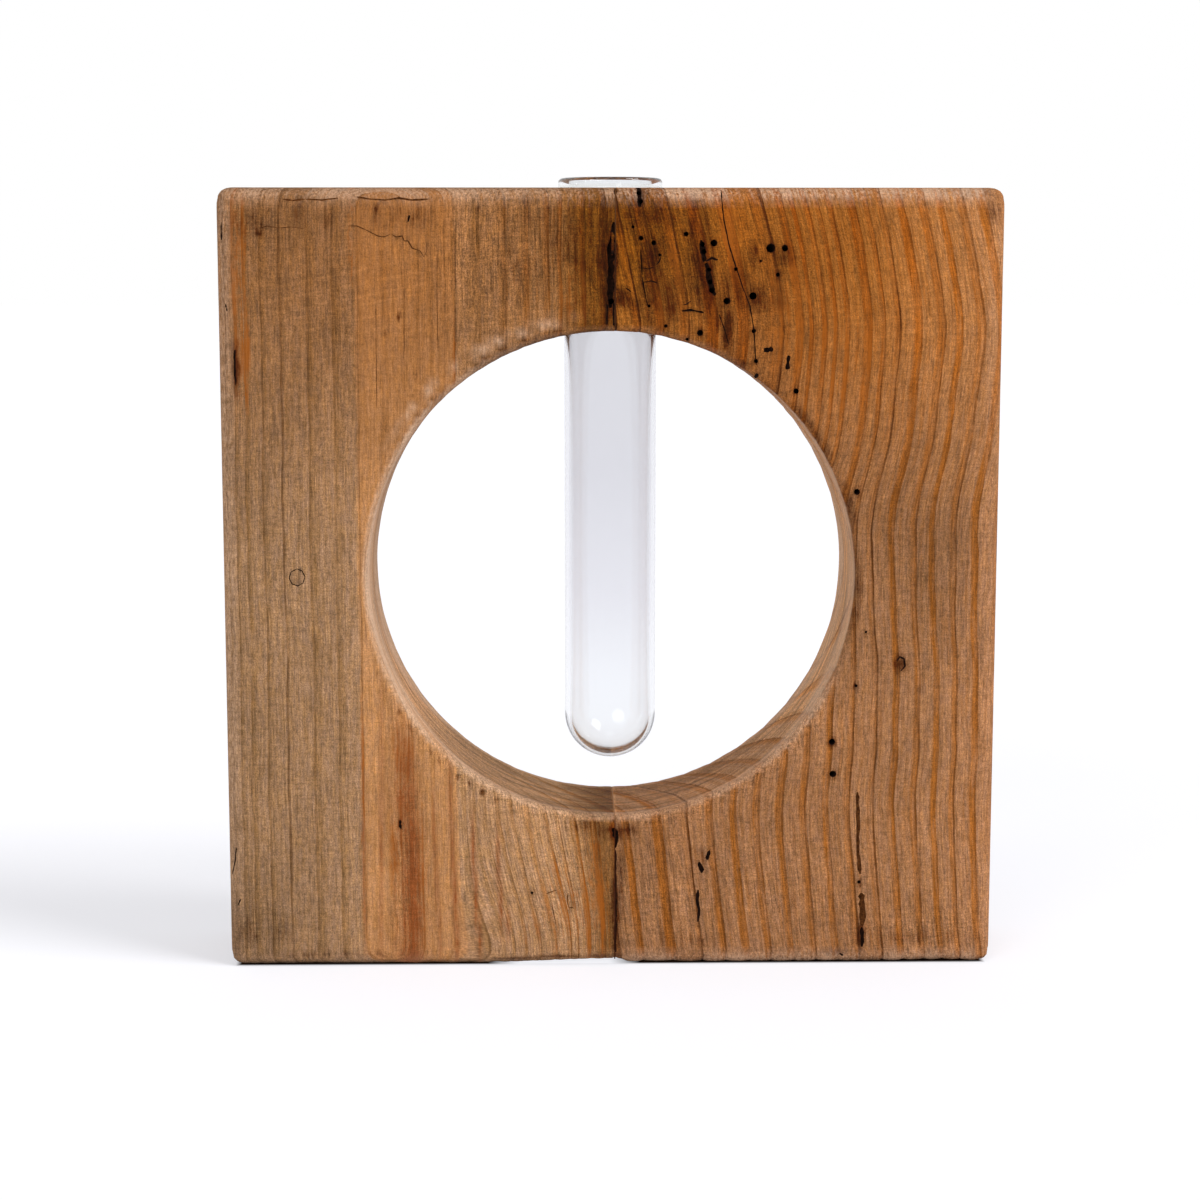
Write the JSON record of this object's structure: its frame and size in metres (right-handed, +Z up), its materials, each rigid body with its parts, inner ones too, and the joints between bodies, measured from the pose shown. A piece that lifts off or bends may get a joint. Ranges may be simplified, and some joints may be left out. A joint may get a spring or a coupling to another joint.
{
  "type": "test-tube vase",
  "caption": "Square block of old wood boards glued edge to edge, with a round window, and a glass test tube hung by its lip in a bore from the top, as a single-stem vase.",
  "frame": {"origin": "middle of the base of the wooden block, on the surface it stands on", "axes": "+Z up along the tube, +X to the right as seen from the front, front face looks along -Y"},
  "size_m": [0.2, 0.038, 0.2048],
  "materials": {
    "left_wood": "old softwood with brown heartwood, brushed and waxed to a low sheen",
    "right_wood": "old orange softwood with close growth rings and worm holes, brushed and waxed to a low sheen",
    "glue": "dark set glue, matt",
    "glass": "clear, fire-polished"
  },
  "bodies": {
    "block": {"left_board": "left_wood", "right_board": "right_wood", "glue_line": "glue"},
    "tube": {"glass_tube": "glass"}
  },
  "joints": [
    {"name": "tube_lift", "type": "slide", "parent": "block", "child": "tube", "axis": [0, 0, 1], "range_m": [0, 0.155]}
  ]
}
